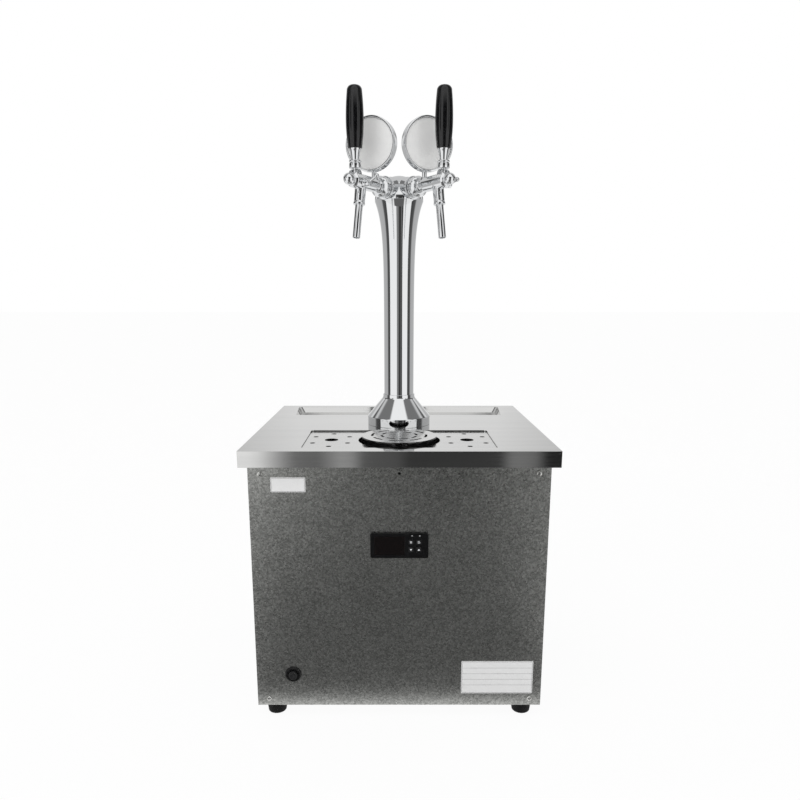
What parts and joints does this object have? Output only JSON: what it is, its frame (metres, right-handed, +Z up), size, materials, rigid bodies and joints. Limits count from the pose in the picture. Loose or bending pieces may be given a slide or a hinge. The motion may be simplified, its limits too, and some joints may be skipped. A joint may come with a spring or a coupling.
{
  "type": "draft beer dispenser",
  "caption": "Counter-top chilled beer dispenser: steel cabinet with drip tray, glass rinser and a chromed trumpet tower carrying lever taps with round medallions.",
  "frame": {"origin": "on the floor under the middle of the top plate", "axes": "+Z up, -Y towards the user, +X to the user's right"},
  "size_m": [0.41, 0.375, 0.8337],
  "materials": {
    "zinc": "galvanised with a fine spangle",
    "plate_steel": "brushed, polished on the lip",
    "chrome": "polished",
    "medal_face": "satin silver",
    "handle_black": "gloss",
    "case_black": "satin",
    "window": "dark tinted",
    "rubber": "matt",
    "screw_steel": "bright",
    "foam": "rigid foam",
    "hose": "smooth",
    "motor_black": "satin black",
    "copper": "bare copper alloy"
  },
  "bodies": {
    "cabinet": {"base_pan": "zinc", "front_panel": "zinc", "left_side_panel": "zinc", "right_side_panel": "zinc", "rear_panel": "zinc", "corner_posts": "zinc", "fan_shroud": "zinc", "top_plate": "plate_steel", "drip_basin": "plate_steel", "tower_base": "chrome", "tower_column": "chrome", "tower_cap": "chrome", "shanks": "chrome", "coupling_nuts": "chrome", "left_tap_body": "chrome", "right_tap_body": "chrome", "left_spout": "chrome", "right_spout": "chrome", "left_medallion": "chrome", "right_medallion": "chrome", "rinser_valve": "chrome", "beer_inlets": "chrome", "medallion_faces": "medal_face", "controller_housing": "case_black", "switch_housing": "case_black", "cable_gland": "case_black", "controller_window": "window", "feet": "rubber", "compressor_mounts": "rubber", "panel_screws": "screw_steel", "tower_studs": "screw_steel", "condenser": "screw_steel", "beer_coils": "screw_steel", "column_foam": "foam", "tank": "foam", "tank_lid": "foam", "beer_lines": "hose", "compressor": "motor_black", "fan_motor": "motor_black", "agitator_motor": "motor_black", "evaporator": "copper"},
    "grille": {"drip_grille": "plate_steel"},
    "rinser": {"rinser_disc": "plate_steel"},
    "set_key": {"key_set": "case_black"},
    "power_key": {"key_power": "case_black"},
    "down_key": {"key_down": "case_black"},
    "up_key": {"key_up": "case_black"},
    "button": {"power_button": "case_black"},
    "cooling_fan": {"fan": "screw_steel"},
    "stirrer": {"agitator": "screw_steel"},
    "left_tap_handle": {"left_lever": "chrome", "left_ferrule": "chrome", "left_handle": "handle_black"},
    "left_valve": {"left_plunger": "copper"},
    "left_flow": {"left_flow_lever": "chrome"},
    "right_tap_handle": {"right_lever": "chrome", "right_ferrule": "chrome", "right_handle": "handle_black"},
    "right_valve": {"right_plunger": "copper"},
    "right_flow": {"right_flow_lever": "chrome"}
  },
  "joints": [
    {"name": "left_tap_pull", "type": "hinge", "parent": "cabinet", "child": "left_tap_handle", "pos_m": [-0.05717, -0.08215, 0.728], "axis": [0.8572, -0.515, 0], "range_deg": [0, 25]},
    {"name": "left_valve_stroke", "type": "slide", "parent": "cabinet", "child": "left_valve", "axis": [-0.515, -0.8572, 0], "range_m": [-0.0036, 0]},
    {"name": "left_flow_turn", "type": "hinge", "parent": "cabinet", "child": "left_flow", "pos_m": [-0.05305, -0.07529, 0.717], "axis": [0.8572, -0.515, 0], "range_deg": [-45, 45]},
    {"name": "right_tap_pull", "type": "hinge", "parent": "cabinet", "child": "right_tap_handle", "pos_m": [0.05717, -0.08215, 0.728], "axis": [0.8572, 0.515, 0], "range_deg": [0, 25]},
    {"name": "right_valve_stroke", "type": "slide", "parent": "cabinet", "child": "right_valve", "axis": [0.515, -0.8572, 0], "range_m": [-0.0036, 0]},
    {"name": "right_flow_turn", "type": "hinge", "parent": "cabinet", "child": "right_flow", "pos_m": [0.05305, -0.07529, 0.717], "axis": [0.8572, 0.515, 0], "range_deg": [-45, 45]},
    {"name": "grille_lift", "type": "slide", "parent": "cabinet", "child": "grille", "axis": [0, 0, 1], "range_m": [0, 0.15]},
    {"name": "rinser_press", "type": "slide", "parent": "cabinet", "child": "rinser", "axis": [0, 0, 1], "range_m": [-0.005, 0], "stiffness_N_per_m": 1500, "springref_m": 0.004},
    {"name": "set_key_press", "type": "slide", "parent": "cabinet", "child": "set_key", "axis": [0, 1, 0], "range_m": [0, 0.0005], "stiffness_N_per_m": 400, "springref_m": -0.0005},
    {"name": "power_key_press", "type": "slide", "parent": "cabinet", "child": "power_key", "axis": [0, 1, 0], "range_m": [0, 0.0005], "stiffness_N_per_m": 400, "springref_m": -0.0005},
    {"name": "down_key_press", "type": "slide", "parent": "cabinet", "child": "down_key", "axis": [0, 1, 0], "range_m": [0, 0.0005], "stiffness_N_per_m": 400, "springref_m": -0.0005},
    {"name": "up_key_press", "type": "slide", "parent": "cabinet", "child": "up_key", "axis": [0, 1, 0], "range_m": [0, 0.0005], "stiffness_N_per_m": 400, "springref_m": -0.0005},
    {"name": "button_press", "type": "slide", "parent": "cabinet", "child": "button", "axis": [0, 1, 0], "range_m": [0, 0.003], "stiffness_N_per_m": 400, "springref_m": -0.001},
    {"name": "fan_spin", "type": "hinge", "parent": "cabinet", "child": "cooling_fan", "pos_m": [-0.13, 0.076, 0.1042], "axis": [1, 0, 0], "continuous": true},
    {"name": "stirrer_spin", "type": "hinge", "parent": "cabinet", "child": "stirrer", "pos_m": [0.0699, 0.0403, 0.2], "axis": [0, 0, 1], "continuous": true}
  ],
  "couplings": [
    {"joint": "left_valve_stroke", "follows": "left_tap_pull", "m_per_rad": -0.008},
    {"joint": "right_valve_stroke", "follows": "right_tap_pull", "m_per_rad": -0.008}
  ]
}
